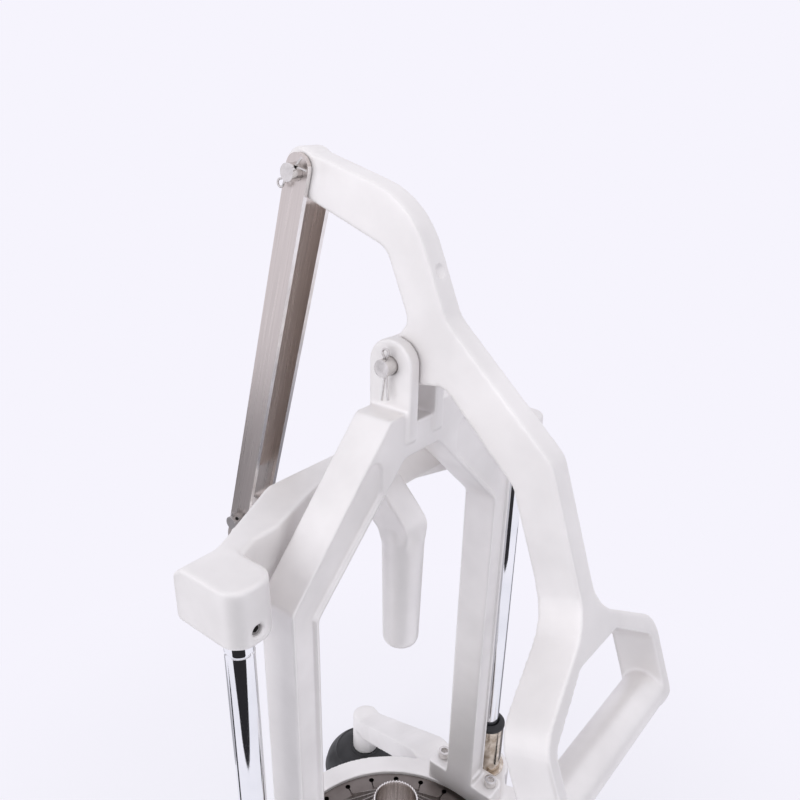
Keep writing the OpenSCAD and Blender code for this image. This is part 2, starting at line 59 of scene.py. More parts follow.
def addNode(tree, kind, links=None, values=None, **settings):
    node = tree.nodes.new(kind)
    for key, value in settings.items():
        setattr(node, key, value)
    for socket, value in (values or {}).items():
        node.inputs[socket].default_value = value
    for socket, source in (links or {}).items():
        tree.links.new(source, node.inputs[socket])
    return node


def deselectAll():
    if bpy.context.object and bpy.context.object.mode != "OBJECT":
        bpy.ops.object.mode_set(mode="OBJECT")
    bpy.ops.object.select_all(action="DESELECT")


def setActive(piece):
    deselectAll()
    piece.select_set(True)
    bpy.context.view_layer.objects.active = piece


def applyModifier(piece, kind, **settings):
    setActive(piece)
    modifier = piece.modifiers.new(kind.lower(), kind)
    for key, value in settings.items():
        setattr(modifier, key, value)
    bpy.ops.object.modifier_apply(modifier=modifier.name)


def smoothShade(piece, angle):
    setActive(piece)
    bpy.ops.object.shade_smooth_by_angle(angle=math.radians(angle))
    applyModifier(piece, "WEIGHTED_NORMAL", keep_sharp=True, weight=80)


def paint(piece, material):
    piece.data.materials.clear()
    piece.data.materials.append(material)


def selectParts(piece, kind, test):
    # picks faces or points in code and leaves the piece in edit mode
    setActive(piece)
    bpy.ops.object.mode_set(mode="EDIT")
    bpy.ops.mesh.select_mode(type=kind)
    bpy.ops.mesh.select_all(action="DESELECT")
    bpy.ops.object.mode_set(mode="OBJECT")
    for part in piece.data.polygons if kind == "FACE" else piece.data.vertices:
        part.select = test(part)
    bpy.ops.object.mode_set(mode="EDIT")


def paintFaces(piece, material, test):
    piece.data.materials.append(material)
    selectParts(piece, "FACE", test)
    piece.active_material_index = len(piece.data.materials) - 1
    bpy.ops.object.material_slot_assign()
    bpy.ops.object.mode_set(mode="OBJECT")


def applyPlace(piece):
    setActive(piece)
    bpy.ops.object.transform_apply(location=True, rotation=True, scale=True)


def copyTo(piece, shift):
    setActive(piece)
    bpy.ops.object.duplicate()
    twin = bpy.context.object
    bpy.ops.transform.translate(value=shift)
    applyPlace(twin)
    return twin


def joinAll(pieces):
    setActive(pieces[0])
    for piece in pieces:
        piece.select_set(True)
    bpy.ops.object.join()
    return pieces[0]


# materials
cloudSpan = {"From Min": 0.32, "From Max": 0.68}  # the middle of the noise, for clouds with contrast
grainLift = 0.12  # height of a grain as a share of its width


def makeFinish(name, spec):
    # broad clouds tint the colour and the gloss, a finer grain lifts the surface
    material = bpy.data.materials.new(name)
    material.use_nodes = True
    tree = material.node_tree
    shader = tree.nodes["Principled BSDF"]
    coords = addNode(tree, "ShaderNodeTexCoord").outputs["Object"]
    place = addNode(tree, "ShaderNodeMapping", {"Vector": coords},
                    {"Rotation": [math.radians(a) for a in spec.get("turn", (0, 0, 0))],
                     "Scale": spec.get("stretch", (1, 1, 1))}, vector_type="TEXTURE").outputs["Vector"]
    cloud = addNode(tree, "ShaderNodeTexNoise", {"Vector": place},
                    {"Scale": 1 / (spec["cloudMm"] * mm), "Detail": 4.0}).outputs["Fac"]
    share = addNode(tree, "ShaderNodeMapRange", {"Value": cloud}, cloudSpan)
    tint = addNode(tree, "ShaderNodeMix", {0: share.outputs["Result"]},
                   {6: hexColor(spec["dull"]), 7: hexColor(spec["pale"])}, data_type="RGBA")
    tree.links.new(tint.outputs[2], shader.inputs["Base Color"])
    rough = addNode(tree, "ShaderNodeMapRange", {"Value": cloud},
                    {**cloudSpan, "To Min": spec["rough"][1], "To Max": spec["rough"][0]})
    tree.links.new(rough.outputs["Result"], shader.inputs["Roughness"])
    if spec.get("bump"):
        grain = addNode(tree, "ShaderNodeTexNoise", {"Vector": place},
                        {"Scale": 1 / (spec["grainMm"] * mm), "Detail": 2.0})
        lift = addNode(tree, "ShaderNodeBump", {"Height": grain.outputs["Fac"]},
                       {"Strength": spec["bump"], "Distance": spec["grainMm"] * grainLift * mm})
        tree.links.new(lift.outputs["Normal"], shader.inputs["Normal"])
    shader.inputs["Metallic"].default_value = spec["metallic"]
    return material


# sand cast aluminium, shot blasted: pale satin, faintly cloudy, with a fine grain
castSpec = {"pale": "#f4f1f0", "dull": "#e9e6e5", "metallic": 0.5, "rough": (0.4, 0.52), "cloudMm": 34,
            "grainMm": 1.1, "bump": 0.1}
# moulded nitrile rubber: near black, dull, softly grained
rubberSpec = {"pale": "#252527", "dull": "#131314", "metallic": 0.0, "rough": (0.4, 0.6), "cloudMm": 16,
              "grainMm": 0.9, "bump": 0.15}
# stainless sheet, belt brushed along the link; the lines are drawn coarser than real so that they show
sheetSpec = {"pale": "#ddd5d0", "dull": "#d2cac5", "metallic": 1.0, "rough": (0.26, 0.34), "cloudMm": 0.8,
             "grainMm": 0.8, "bump": 0.02, "turn": (0, 16.6, 0), "stretch": (1, 1, 60)}
# ground blade steel: mid grey with short grinding marks down the blade, drawn coarser than real
bladeSpec = {"pale": "#c0b9b5", "dull": "#9d9692", "metallic": 1.0, "rough": (0.26, 0.36), "cloudMm": 1.6,
             "grainMm": 0.9, "bump": 0.04, "stretch": (1, 1, 12)}
# drawn stainless tube: paler, with draw lines down its wall, drawn coarser than real
drawnSpec = {"pale": "#e2dcd8", "dull": "#bdb6b1", "metallic": 1.0, "rough": (0.22, 0.34), "cloudMm": 1.5,
             "grainMm": 0.9, "bump": 0.04, "stretch": (1, 1, 30)}
# turned stainless ring: darker and smooth
ringSpec = {"pale": "#7b7470", "dull": "#6d6662", "metallic": 1.0, "rough": (0.3, 0.36), "cloudMm": 12}
# hard chromed shaft: almost a mirror, with a breath of haze
chromeSpec = {"pale": "#f6f7f9", "dull": "#eceef1", "metallic": 1.0, "rough": (0.04, 0.07), "cloudMm": 26}
# nickel plate: warm and bright, with dark brown clouds painted in as reflections
nickelSpec = {"pale": "#e2d9cd", "dull": "#a89987", "metallic": 1.0, "rough": (0.08, 0.16), "cloudMm": 5}
# bright zinc on bolts, pins and cotters: pale grey, a little hazy
zincSpec = {"pale": "#e4e1de", "dull": "#cac7c4", "metallic": 1.0, "rough": (0.14, 0.24), "cloudMm": 4}
# the same zinc, darker and duller, at the lower pin: flat grey
darkerZincSpec = {"pale": "#bdbab8", "dull": "#a5a2a0", "metallic": 1.0, "rough": (0.36, 0.46), "cloudMm": 4}
# sheared and tumbled edge of the link sheet and the tube: smooth, and painted paler than the faces as a
# highlight
edgeHighlightSpec = {"pale": "#f3f0ee", "dull": "#e6e2df", "metallic": 1.0, "rough": (0.14, 0.22), "cloudMm": 6}
# black oxide on the set screws, worn to a grey bloom
oxideSpec = {"pale": "#9a9896", "dull": "#7e7c7b", "metallic": 1.0, "rough": (0.36, 0.46), "cloudMm": 2}
# oiled sintered bronze: brown gold with open pores
bronzeSpec = {"pale": "#b98a58", "dull": "#94683c", "metallic": 1.0, "rough": (0.4, 0.5), "cloudMm": 3,
              "grainMm": 0.6, "bump": 0.2}

casting = makeFinish("castAluminiumBlasted", castSpec)
rubber = makeFinish("moldedNitrileRubber", rubberSpec)
brushedSheet = makeFinish("stainlessSheetBrushed", sheetSpec)
bladeSteel = makeFinish("stainlessBladeGround", bladeSpec)
drawnSteel = makeFinish("stainlessTubeDrawn", drawnSpec)
turnedSteel = makeFinish("stainlessRingTurned", ringSpec)
hardChrome = makeFinish("steelShaftHardChrome", chromeSpec)
nickelPlate = makeFinish("steelNickelPlated", nickelSpec)
zincPlate = makeFinish("steelZincPlated", zincSpec)
darkerZinc = makeFinish("steelZincDarker", darkerZincSpec)
smoothEdgeHighlight = makeFinish("stainlessEdgeHighlight", edgeHighlightSpec)
blackOxide = makeFinish("steelBlackOxide", oxideSpec)
sinteredBronze = makeFinish("bronzeSintered", bronzeSpec)

# each node's finish, and the record's slot that it belongs to
finishOf = {
    "base_casting": (casting, "casting"), "frame_arch": (casting, "casting"),
    "lever_arm": (casting, "casting"), "carriage_yoke": (casting, "casting"),
    "suction_cups": (rubber, "black_rubber"), "wiper_seals": (rubber, "black_rubber"),
    "cup_studs": (zincPlate, "plated_steel"), "frame_bolts": (zincPlate, "plated_steel"),
    "pivot_pin": (zincPlate, "plated_steel"), "pivot_cotter": (zincPlate, "plated_steel"),
    "upper_link_pin": (zincPlate, "plated_steel"), "upper_cotter": (zincPlate, "plated_steel"),
    "lower_link_pin": (darkerZinc, "plated_steel"), "lower_cotter": (darkerZinc, "plated_steel"),
    "blade_ring": (turnedSteel, "blade_steel"), "core_tube": (drawnSteel, "blade_steel"),
    "slicing_blades": (bladeSteel, "blade_steel"), "bearing_sleeves": (nickelPlate, "nickel"),
    "retaining_rings": (nickelPlate, "nickel"), "bearing_bushes": (sinteredBronze, "bush_bronze"),
    "link_channel": (brushedSheet, "link_steel"), "guide_rods": (hardChrome, "chrome"),
    "clamp_screws": (blackOxide, "black_steel")}
for name, finish in finishOf.items():
    paint(nodes[name], finish[0])
print("materials ready")


def standFor(piece, name):
    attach(piece, bodyOf[name])
    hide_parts(name)
    print(piece.name, len(piece.data.polygons), "faces")


mergeMm = 0.004


def copySolid(name, pieceName):
    piece = bpy.data.objects.new(pieceName, nodes[name].data.copy())
    bpy.context.scene.collection.objects.link(piece)
    setActive(piece)
    bpy.ops.object.mode_set(mode="EDIT")
    bpy.ops.mesh.select_all(action="SELECT")
    bpy.ops.mesh.remove_doubles(threshold=mergeMm * mm)
    bpy.ops.object.mode_set(mode="OBJECT")
    paint(piece, finishOf[name][0])
    return piece


# castings: the edges and inner corners of the solid are softened, as a sand mould leaves them
castSmoothDeg = 50
ribEdge = 0.1  # a rib's thin edge as a share of its height


def liftTip(piece, below, lift):
    points = piece.data.vertices
    selectParts(piece, "FACE", lambda face: max(points[v].co.z for v in face.vertices) < below * mm)
    bpy.ops.transform.translate(value=(0, 0, lift * mm))
    bpy.ops.object.mode_set(mode="OBJECT")


def addRib(low, high):
    # a block whose face towards the middle is drawn up to a thin edge
    deselectAll()
    bpy.ops.mesh.primitive_cube_add(size=1, location=[(a + b) / 2 * mm for a, b in zip(low, high)])
    rib = bpy.context.object
    bpy.ops.transform.resize(value=[(b - a) * mm for a, b in zip(low, high)])
    applyPlace(rib)
    selectParts(rib, "FACE", lambda face: face.normal.y * face.center.y < -0.5 * abs(face.center.y))
    bpy.ops.transform.resize(value=(1, 1, ribEdge), center_override=(0, 0, high[2] * mm))
    return rib


def addWeb(corners, low, high, side):
    deselectAll()
    bpy.ops.mesh.primitive_circle_add(vertices=len(corners), radius=1, fill_type="NGON")
    web = bpy.context.object
    for point, (x, y) in zip(web.data.vertices, corners):
        point.co = (x * mm, side * y * mm, low * mm)
    bpy.ops.object.mode_set(mode="EDIT")
    bpy.ops.mesh.select_all(action="SELECT")
    bpy.ops.mesh.extrude_region_move(TRANSFORM_OT_translate={"value": (0, 0, (high - low) * mm)})
    bpy.ops.mesh.select_all(action="SELECT")
    bpy.ops.mesh.normals_make_consistent(inside=False)
    bpy.ops.object.mode_set(mode="OBJECT")
    return web


def addBoss(center, radius, width):
    deselectAll()
    bpy.ops.mesh.primitive_cylinder_add(vertices=64, radius=radius * mm, depth=width * mm,
                                        location=[c * mm for c in center], rotation=(math.pi / 2, 0, 0))
    boss = bpy.context.object
    applyPlace(boss)
    return boss


def cutDimple(piece, center, radius):
    deselectAll()
    bpy.ops.mesh.primitive_uv_sphere_add(segments=48, ring_count=24, radius=radius * mm,
                                         location=[c * mm for c in center])
    ball = bpy.context.object
    applyModifier(piece, "BOOLEAN", operation="DIFFERENCE", object=ball, solver="EXACT")
    setActive(ball)
    bpy.ops.object.delete()


def softSolid(name, spec):
    piece = copySolid(name, spec["piece"])
    if "tipMm" in spec:
        liftTip(piece, *spec["tipMm"])
    for low, high in spec.get("ribsMm", []):
        piece = joinAll([piece, addRib(low, high)])
    for corners, low, high in spec.get("websMm", []):
        for side in (1, -1):
            piece = joinAll([piece, addWeb(corners, low, high, side)])
    for center, radius, width in spec.get("bossesMm", []):
        piece = joinAll([piece, addBoss(center, radius, width)])
    applyModifier(piece, "REMESH", mode="VOXEL", voxel_size=spec["gridMm"] * mm)
    applyModifier(piece, "SMOOTH", factor=0.5, iterations=spec["passes"])
    for center, radius in spec.get("dimplesMm", []):
        cutDimple(piece, center, radius)
    applyModifier(piece, "DECIMATE", decimate_type="COLLAPSE", ratio=spec["keep"])
    smoothShade(piece, castSmoothDeg)
    standFor(piece, name)


# a faint boss round the link pin, and a dimple where the casting was pushed out of its mould
leverSpec = {"piece": "castLever", "gridMm": 0.7, "passes": 14, "keep": 0.5,
             "bossesMm": [((-54, 0, 505.8), 9.8, 12.5)], "dimplesMm": [((17.6, 0, 474.7), 4.6)]}
archSpec = {"piece": "castArch", "gridMm": 0.7, "passes": 6, "keep": 0.45}
# the pusher tip is ground back a little from the solid; webs and ribs fill the corners by the rod blocks
yokeSpec = {"piece": "castYoke", "gridMm": 0.7, "passes": 28, "keep": 0.5, "tipMm": (284.5, 6.4),
            "websMm": [([(-24.5, 31), (-12.4, 65), (-11.6, 84), (-20, 84), (-26, 60), (-27, 31)],
                        355, 379)],
            "ribsMm": [((-24, -90, 345), (-11.5, -60, 364)), ((-24, 60, 345), (-11.5, 90, 364))]}
baseSpec = {"piece": "castBase", "gridMm": 1.0, "passes": 8, "keep": 0.5}
softSolid("lever_arm", leverSpec)
softSolid("frame_arch", archSpec)
softSolid("carriage_yoke", yokeSpec)
softSolid("base_casting", baseSpec)
print("castings done")

# pins, bolts and set screws are turned parts: the same softening on a much finer grid
boltSpec = {"piece": "socketBolts", "gridMm": 0.16, "passes": 3, "keep": 0.25}
pivotSpec = {"piece": "pivotPin", "gridMm": 0.16, "passes": 4, "keep": 0.25}
upperSpec = {"piece": "upperLinkPin", "gridMm": 0.16, "passes": 4, "keep": 0.25}
lowerSpec = {"piece": "lowerLinkPin", "gridMm": 0.16, "passes": 4, "keep": 0.25}
screwSpec = {"piece": "setScrews", "gridMm": 0.12, "passes": 3, "keep": 0.3}
softSolid("frame_bolts", boltSpec)
softSolid("pivot_pin", pivotSpec)
softSolid("upper_link_pin", upperSpec)
softSolid("lower_link_pin", lowerSpec)
softSolid("clamp_screws", screwSpec)
print("pins and bolts done")


# turned and folded steel: sharp edges broken, so that they catch the light
flatDeg = 0.5  # triangles that lie flatter than this are one face
sharpDeg = 35  # edges that turn more than this are broken
steelSmoothDeg = 38


def brokenEdges(name, spec):
    piece = copySolid(name, spec["piece"])
    bpy.ops.object.mode_set(mode="EDIT")
    bpy.ops.mesh.select_all(action="SELECT")
    bpy.ops.mesh.dissolve_limited(angle_limit=math.radians(flatDeg))
    bpy.ops.object.mode_set(mode="OBJECT")
    applyModifier(piece, "BEVEL", width=spec["edgeMm"] * mm, segments=spec["steps"], limit_method="ANGLE",
                  angle_limit=math.radians(sharpDeg), use_clamp_overlap=True)
    smoothShade(piece, steelSmoothDeg)
    standFor(piece, name)
    return piece


linkSpec = {"piece": "foldedLink", "edgeMm": 0.45, "steps": 3, "tiltDeg": 16.6, "lowPin": (-110, 318),
            "boreMm": 4.6, "tailMm": 13, "brightMm": 0.7}
ringEdgeSpec = {"piece": "slottedRing", "edgeMm": 0.25, "steps": 2}
bladeEdgeSpec = {"piece": "groundBlades", "edgeMm": 0.16, "steps": 1}
sleeveSpec = {"piece": "plainSleeves", "edgeMm": 0.4, "steps": 2}
sealSpec = {"piece": "lipSeals", "edgeMm": 0.3, "steps": 2}
clipSpec = {"piece": "springRings", "edgeMm": 0.2, "steps": 2}
link = brokenEdges("link_channel", linkSpec)
brokenEdges("blade_ring", ringEdgeSpec)
brokenEdges("slicing_blades", bladeEdgeSpec)
brokenEdges("bearing_sleeves", sleeveSpec)
brokenEdges("wiper_seals", sealSpec)
brokenEdges("retaining_rings", clipSpec)

# the cheeks run on past the lower pin, and their front edges are painted paler than the brushed faces, as a
# highlight
tilt = math.radians(linkSpec["tiltDeg"])
linkUp = Vector((math.sin(tilt), 0, math.cos(tilt)))
linkFront = Vector((math.cos(tilt), 0, -math.sin(tilt)))
lowPin = Vector((linkSpec["lowPin"][0] * mm, 0, linkSpec["lowPin"][1] * mm))


def inTail(point):
    # below the pin's middle, and not on the edge of its bore
    along, across = (point.co - lowPin) @ linkUp, (point.co - lowPin) @ linkFront
    return along < 0.2 * mm and math.hypot(along, across) > linkSpec["boreMm"] * mm


selectParts(link, "VERT", inTail)
bpy.ops.transform.translate(value=linkUp * -linkSpec["tailMm"] * mm)
bpy.ops.object.mode_set(mode="OBJECT")
brightFrom = max(point.co @ linkFront for point in link.data.vertices) - linkSpec["brightMm"] * mm


def onFrontEdge(face):
    return face.normal @ linkFront > 0.4 and face.center @ linkFront > brightFrom


# painted highlight: the band along the cheeks' front edges gets the paler finish
paintFaces(link, smoothEdgeHighlight, onFrontEdge)
print("turned and folded pieces done")


# guide rods: drawn round, both ends chamfered, a turned groove under the block
rodSpec = {"piece": "chromedRods", "radiusMm": 6, "sides": 96, "chamferMm": 0.8,
           "grooveAtMm": 345.2, "grooveWideMm": 1.5, "grooveDeepMm": 0.6, "smoothDeg": 30}
rodLow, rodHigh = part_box("guide_rods")
rodY = rodHigh.y - rodSpec["radiusMm"] * mm
deselectAll()
bpy.ops.mesh.primitive_cylinder_add(vertices=rodSpec["sides"], radius=rodSpec["radiusMm"] * mm,
                                    depth=rodHigh.z - rodLow.z,
                                    location=(0, rodY, (rodHigh.z + rodLow.z) / 2))
farRod = bpy.context.object
farRod.name = rodSpec["piece"]
applyPlace(farRod)
selectParts(farRod, "FACE", lambda face: abs(face.normal.z) > 0.9)
bpy.ops.mesh.bevel(offset=rodSpec["chamferMm"] * mm, segments=2, affect="EDGES")
grooveAt, grooveWide = rodSpec["grooveAtMm"] * mm, rodSpec["grooveWideMm"] * mm
for share in (-1 / 2, -1 / 4, 1 / 4, 1 / 2):
    bpy.ops.mesh.select_all(action="SELECT")
    bpy.ops.mesh.bisect(plane_co=(0, rodY, grooveAt + share * grooveWide), plane_no=(0, 0, 1))
bpy.ops.object.mode_set(mode="OBJECT")
selectParts(farRod, "FACE", lambda face: abs(face.center.z - grooveAt) < 0.2 * grooveWide)
grooveScale = 1 - rodSpec["grooveDeepMm"] / rodSpec["radiusMm"]
bpy.ops.transform.resize(value=(grooveScale, grooveScale, 1), center_override=(0, rodY, grooveAt))
bpy.ops.object.mode_set(mode="OBJECT")
rods = joinAll([farRod, copyTo(farRod, (0, -2 * rodY, 0))])
paint(rods, hardChrome)
smoothShade(rods, rodSpec["smoothDeg"])
standFor(rods, "guide_rods")


# core tube: thin wall, the rim drawn in and filed into small teeth
tubeSpec = {"piece": "toothedTube", "radiusMm": 12.8, "wallMm": 0.75, "teeth": 44, "toothMm": 1.1,
            "bevelMm": 3, "rimInMm": 0.35, "smoothDeg": 30}
tubeLow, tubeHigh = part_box("core_tube")
deselectAll()
bpy.ops.mesh.primitive_circle_add(vertices=2 * tubeSpec["teeth"], radius=tubeSpec["radiusMm"] * mm,
                                  location=(0, 0, tubeLow.z))
tube = bpy.context.object
tube.name = tubeSpec["piece"]
applyPlace(tube)
bpy.ops.object.mode_set(mode="EDIT")
bpy.ops.mesh.select_mode(type="EDGE")
bpy.ops.mesh.select_all(action="SELECT")
bodyHeight = tubeHigh.z - tubeLow.z - tubeSpec["bevelMm"] * mm
bpy.ops.mesh.extrude_edges_move(TRANSFORM_OT_translate={"value": (0, 0, bodyHeight)})
bpy.ops.mesh.extrude_edges_move(TRANSFORM_OT_translate={"value": (0, 0, tubeSpec["bevelMm"] * mm)})
rimScale = 1 - tubeSpec["rimInMm"] / tubeSpec["radiusMm"]
bpy.ops.transform.resize(value=(rimScale, rimScale, 1), center_override=(0, 0, tubeHigh.z))
bpy.ops.mesh.select_all(action="SELECT")
bpy.ops.mesh.normals_make_consistent(inside=False)


def betweenTeeth(point):
    step = round(math.atan2(point.co.y, point.co.x) / math.pi * tubeSpec["teeth"])
    return point.co.z > tubeHigh.z - 0.1 * mm and step % 2 == 0


selectParts(tube, "VERT", betweenTeeth)
bpy.ops.transform.translate(value=(0, 0, -tubeSpec["toothMm"] * mm))
bpy.ops.object.mode_set(mode="OBJECT")
applyModifier(tube, "SOLIDIFY", thickness=tubeSpec["wallMm"] * mm, offset=-1)
paint(tube, drawnSteel)
# painted highlight: the rim gets the same paler finish as the link's front edges
rimFrom = tubeHigh.z - tubeSpec["bevelMm"] * mm
paintFaces(tube, smoothEdgeHighlight, lambda face: face.normal.z > 0.25 and face.center.z > rimFrom)
smoothShade(tube, tubeSpec["smoothDeg"])
standFor(tube, "core_tube")


# suction cups: a bell on a short collar, with a bead round the bell and a lip at the table
# rings are (radius, height) in millimetres, from the cap over the bell to the hollow underneath
cupSpec = {"piece": "suctionCups", "sides": 72, "lipMm": 35, "capMm": (10.4, 23), "collarMm": 12.4,
           "shoulderMm": [(11.9, 22.6), (12.4, 21.8)], "bellDeg": range(8, 88, 4), "bellOutMm": 34.2,
           "bellLowMm": 2.4, "bellHighMm": 22.2, "beadDeg": 36, "beadUpMm": 0.7, "wallUpMm": -0.2,
           "underMm": [(34.3, 2.6), (34.8, 2.0), (35.0, 1.2), (34.9, 0.3), (34.4, 0.0), (32.0, 0.0),
                       (25.0, 3.6), (16.5, 6.8), (6.0, 8.2), (0.5, 8.6)],
           "smoothDeg": 40}
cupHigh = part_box("suction_cups")[1]
footX, footY = cupHigh.x - cupSpec["lipMm"] * mm, cupHigh.y - cupSpec["lipMm"] * mm
cupRings = list(cupSpec["shoulderMm"])
for turnDeg in cupSpec["bellDeg"]:
    lift = cupSpec["beadUpMm"] if turnDeg == cupSpec["beadDeg"] else cupSpec["wallUpMm"]
    out = cupSpec["bellOutMm"] - cupSpec["collarMm"]
    rise = cupSpec["bellHighMm"] - cupSpec["bellLowMm"]
    cupRings.append((cupSpec["collarMm"] + out * math.sin(math.radians(turnDeg)),
                     cupSpec["bellLowMm"] + rise * math.cos(math.radians(turnDeg)) + lift))
cupRings += cupSpec["underMm"]
wasRadius, wasHeight = cupSpec["capMm"]
deselectAll()
bpy.ops.mesh.primitive_circle_add(vertices=cupSpec["sides"], radius=wasRadius * mm, fill_type="NGON",
                                  location=(footX, footY, wasHeight * mm))
firstCup = bpy.context.object
firstCup.name = cupSpec["piece"]
applyPlace(firstCup)
bpy.ops.object.mode_set(mode="EDIT")
bpy.ops.mesh.select_mode(type="EDGE")
bpy.ops.mesh.select_all(action="SELECT")
for radius, height in cupRings:
    bpy.ops.mesh.extrude_edges_move(TRANSFORM_OT_translate={"value": (0, 0, (height - wasHeight) * mm)})
    bpy.ops.transform.resize(value=(radius / wasRadius, radius / wasRadius, 1),
                             center_override=(footX, footY, height * mm))
    wasRadius, wasHeight = radius, height
bpy.ops.mesh.edge_face_add()
bpy.ops.mesh.select_all(action="SELECT")
bpy.ops.mesh.normals_make_consistent(inside=False)
bpy.ops.object.mode_set(mode="OBJECT")
otherFeet = ((-2 * footX, 0, 0), (0, -2 * footY, 0), (-2 * footX, -2 * footY, 0))
cups = joinAll([firstCup] + [copyTo(firstCup, shift) for shift in otherFeet])
paint(cups, rubber)
smoothShade(cups, cupSpec["smoothDeg"])
standFor(cups, "suction_cups")


# split cotters: one wire bent to an eye, both legs through the pin and spread
pinR = 3.75  # radius of the pins, in millimetres
eyeDeg = range(-40, -321, -28)
wireSmoothDeg = 50


def bentCotter(name, spec):
    wire, eyeR = spec["wireMm"], spec["eyeMm"]
    (firstSide, firstLong), (lastSide, lastLong) = spec["legsMm"]
    eyeAt = pinR + spec["neckMm"] + eyeR
    route = [(firstSide, -pinR - firstLong), (-wire + (firstSide + wire) * 0.4, -pinR - firstLong * 0.5),
             (-wire, -pinR - 0.3), (-wire, 0), (-wire, pinR)]
    route += [(eyeR * math.sin(math.radians(a)), eyeAt - eyeR * math.cos(math.radians(a))) for a in eyeDeg]
    route += [(wire, pinR), (wire, 0), (wire, -pinR - 0.3),
              (wire + (lastSide - wire) * 0.4, -pinR - lastLong * 0.5), (lastSide, -pinR - lastLong)]
    turn = math.radians(spec["turnDeg"])
    deselectAll()
    bpy.ops.curve.primitive_nurbs_path_add(location=(0, 0, 0))
    piece = bpy.context.object
    piece.name = spec["piece"]
    path = piece.data.splines[0]
    path.points.add(len(route) - len(path.points))
    pinX, pinY, pinZ = spec["pin"]
    for point, (side, along) in zip(path.points, route):
        point.co = ((pinX + side * math.cos(turn) + along * math.sin(turn)) * mm, pinY * mm,
                    (pinZ - side * math.sin(turn) + along * math.cos(turn)) * mm, 1)
    path.order_u = 3
    path.use_endpoint_u = True
    piece.data.bevel_depth = wire * mm
    piece.data.bevel_resolution = 4
    piece.data.resolution_u = 6
    piece.data.use_fill_caps = True
    bpy.ops.object.convert(target="MESH")
    paint(piece, finishOf[name][0])
    smoothShade(piece, wireSmoothDeg)
    standFor(piece, name)


pivotWire = {"piece": "pivotCotter", "pin": (0, -15.0, 435), "turnDeg": 0, "wireMm": 0.5, "eyeMm": 1.7,
             "neckMm": 0.6, "legsMm": [(-1.7, 11), (1.7, 10.2)]}
upperWire = {"piece": "upperCotter", "pin": (-54, -11.6, 505.8), "turnDeg": -125, "wireMm": 0.5,
             "eyeMm": 1.7, "neckMm": 2.6, "legsMm": [(-4.2, 3.8), (1.1, 4.6)]}
lowerWire = {"piece": "lowerCotter", "pin": (-110, -11.6, 318), "turnDeg": 165, "wireMm": 0.5, "eyeMm": 1.7,
             "neckMm": 0.6, "legsMm": [(-0.9, 1.6), (0.9, 1.4)]}
bentCotter("pivot_cotter", pivotWire)
bentCotter("upper_cotter", upperWire)
bentCotter("lower_cotter", lowerWire)
print("rods, tube, cups and cotters done")


# stage, light and camera
stage = {"sizeM": 6, "floorColor": "#f4f3f8", "floorRough": 0.9, "backColor": "#f6f4fd", "fadeFromM": 0.2,
         "fadeToM": 0.5, "leastGlow": 0.72, "worldColor": "#eef0f5", "worldStrength": 0.5}


def backdropRays(tree):
    # the camera, bright metal and glass see the white backdrop
    rays = addNode(tree, "ShaderNodeLightPath").outputs
    either = addNode(tree, "ShaderNodeMath", {0: rays["Is Camera Ray"], 1: rays["Is Glossy Ray"]},
                     operation="MAXIMUM").outputs[0]
    return addNode(tree, "ShaderNodeMath", {0: either, 1: rays["Is Transmission Ray"]},
                   operation="MAXIMUM").outputs[0]


deselectAll()
bpy.ops.mesh.primitive_plane_add(size=stage["sizeM"], location=(0, 0, 0))
floor = bpy.context.object
floor.name = "paleFloor"
floorMaterial = bpy.data.materials.new("floorPaperMatte")
floorMaterial.use_nodes = True
floorTree = floorMaterial.node_tree
floorShader = floorTree.nodes["Principled BSDF"]
floorShader.inputs["Base Color"].default_value = hexColor(stage["floorColor"])
floorShader.inputs["Roughness"].default_value = stage["floorRough"]
# the paper keeps the shadow near the object and runs out into the bright backdrop
floorCoords = addNode(floorTree, "ShaderNodeTexCoord").outputs["Object"]
reach = addNode(floorTree, "ShaderNodeVectorMath", {0: floorCoords}, operation="LENGTH")
fade = addNode(floorTree, "ShaderNodeMapRange", {"Value": reach.outputs["Value"]},
               {"From Min": stage["fadeFromM"], "From Max": stage["fadeToM"], "To Min": stage["leastGlow"]},
               interpolation_type="SMOOTHSTEP")
glowShare = addNode(floorTree, "ShaderNodeMath", {0: fade.outputs["Result"], 1: backdropRays(floorTree)},
                    operation="MULTIPLY")
glow = addNode(floorTree, "ShaderNodeEmission", None,
               {"Color": hexColor(stage["backColor"]), "Strength": 1.0})
floorMix = addNode(floorTree, "ShaderNodeMixShader",
                   {0: glowShare.outputs[0], 1: floorShader.outputs[0], 2: glow.outputs[0]})
floorTree.links.new(floorMix.outputs[0], floorTree.nodes["Material Output"].inputs["Surface"])
paint(floor, floorMaterial)

# flags lie on the table and are seen only in reflections: painted reflections that draw the dark streaks in
# the chrome and darken the shine of the castings, link and pins
flagHeightMm = 4
feltRough = 0.95
flagSpecs = {
    "frontFlag": {"color": "#141215",
                  "cornersMm": [(-40, -505), (40, -430), (60, -392), (198, -280), (285, -202), (351, -146),
                                (405, -85), (640, -240), (330, -720), (-60, -640)]},
    "gripFlag": {"color": "#5f5d62",
                 "cornersMm": [(800, 300), (2400, 300), (2400, 1500), (1400, 1500), (800, 800)]},
    "rearFlag": {"color": "#95939a",
                 "cornersMm": [(-160, 170), (60, 170), (110, 260), (230, 560), (60, 640), (-60, 400),
                               (-160, 260)]},
    "sideFlag": {"color": "#b4b2b8",
                 "cornersMm": [(-400, 60), (-420, -120), (-340, -215), (-250, -215), (-270, -60),
                               (-300, 60)]},
    "linkFlag": {"color": "#171518",
                 "cornersMm": [(-450, -230), (-520, -440), (-760, -690), (-980, -700), (-900, -380),
                               (-640, -180)]},
    "postFlag": {"color": "#403e43",
                 "cornersMm": [(-330, -330), (-260, -350), (-150, -240), (-60, -150), (-170, -170),
                               (-300, -250)]}}


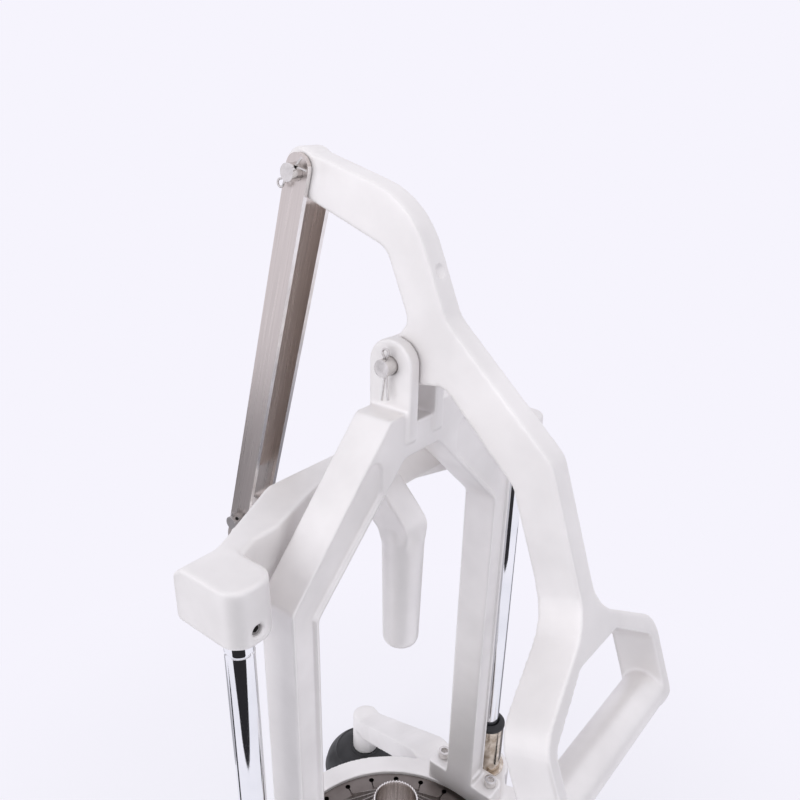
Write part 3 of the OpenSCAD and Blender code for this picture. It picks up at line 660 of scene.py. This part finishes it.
def addFlag(name, spec):
    deselectAll()
    bpy.ops.mesh.primitive_circle_add(vertices=len(spec["cornersMm"]), radius=1, fill_type="NGON")
    flag = bpy.context.object
    flag.name = name
    for point, (x, y) in zip(flag.data.vertices, spec["cornersMm"]):
        point.co = (x * mm, y * mm, flagHeightMm * mm)
    felt = bpy.data.materials.new(name + "Felt")
    felt.use_nodes = True
    feltShader = felt.node_tree.nodes["Principled BSDF"]
    feltShader.inputs["Base Color"].default_value = hexColor(spec["color"])
    feltShader.inputs["Roughness"].default_value = feltRough
    paint(flag, felt)
    flag.visible_camera = flag.visible_diffuse = flag.visible_shadow = flag.visible_transmission = False


for name, spec in flagSpecs.items():
    addFlag(name, spec)

# the camera and bright metal see the white backdrop, matte surfaces the softer sky
world = bpy.data.worlds.new("softStudio")
world.use_nodes = True
bpy.context.scene.world = world
worldTree = world.node_tree
background = worldTree.nodes["Background"]
background.inputs["Color"].default_value = hexColor(stage["worldColor"])
background.inputs["Strength"].default_value = stage["worldStrength"]
seen = addNode(worldTree, "ShaderNodeBackground", None,
               {"Color": hexColor(stage["backColor"]), "Strength": 1.0})
pick = addNode(worldTree, "ShaderNodeMixShader",
               {0: backdropRays(worldTree), 1: background.outputs[0], 2: seen.outputs[0]})
worldTree.links.new(pick.outputs[0], worldTree.nodes["World Output"].inputs["Surface"])

lampTarget = Vector((0, 0, 0.3))
lampSpecs = {"keySoftbox": {"place": (-0.5, -1.8, 0.95), "size": (1.8, 1.6), "power": 24},
             "fillSoftbox": {"place": (1.5, -0.2, 1.0), "size": (1.8, 1.6), "power": 6},
             "topSoftbox": {"place": (0.1, 0.5, 1.9), "size": (1.8, 1.4), "power": 11}}


def addSoftbox(name, spec):
    deselectAll()
    bpy.ops.object.light_add(type="AREA", location=spec["place"])
    lamp = bpy.context.object
    lamp.name = name
    lamp.data.shape = "RECTANGLE"
    lamp.data.size, lamp.data.size_y = spec["size"]
    lamp.data.energy = spec["power"]
    lamp.visible_glossy = False  # metal mirrors the white tent, not the lamps
    lamp.rotation_euler = (lampTarget - Vector(spec["place"])).to_track_quat("-Z", "Y").to_euler()


for name, spec in lampSpecs.items():
    addSoftbox(name, spec)

cameraSpec = {"place": (0.1832, -0.2402, 0.5361), "forward": (-0.5888, 0.6842, -0.4305), "rollDeg": 0.162,
              "sensorMm": 36, "lensMm": 33.99, "shift": (0.0433, 0.0630), "nearM": 0.01}
deselectAll()
bpy.ops.object.camera_add(location=cameraSpec["place"])
camera = bpy.context.object
camera.name = "productCamera"
camera.data.sensor_width = cameraSpec["sensorMm"]
camera.data.lens = cameraSpec["lensMm"]
camera.data.shift_x, camera.data.shift_y = cameraSpec["shift"]
camera.data.clip_start = cameraSpec["nearM"]
aim = Vector(cameraSpec["forward"]).to_track_quat("-Z", "Y").to_matrix()
camera.rotation_euler = (aim @ Matrix.Rotation(math.radians(cameraSpec["rollDeg"]), 3, "Z")).to_euler()
bpy.context.scene.camera = camera
bpy.context.scene.view_settings.view_transform = "Standard"
print("stage, light and camera ready")
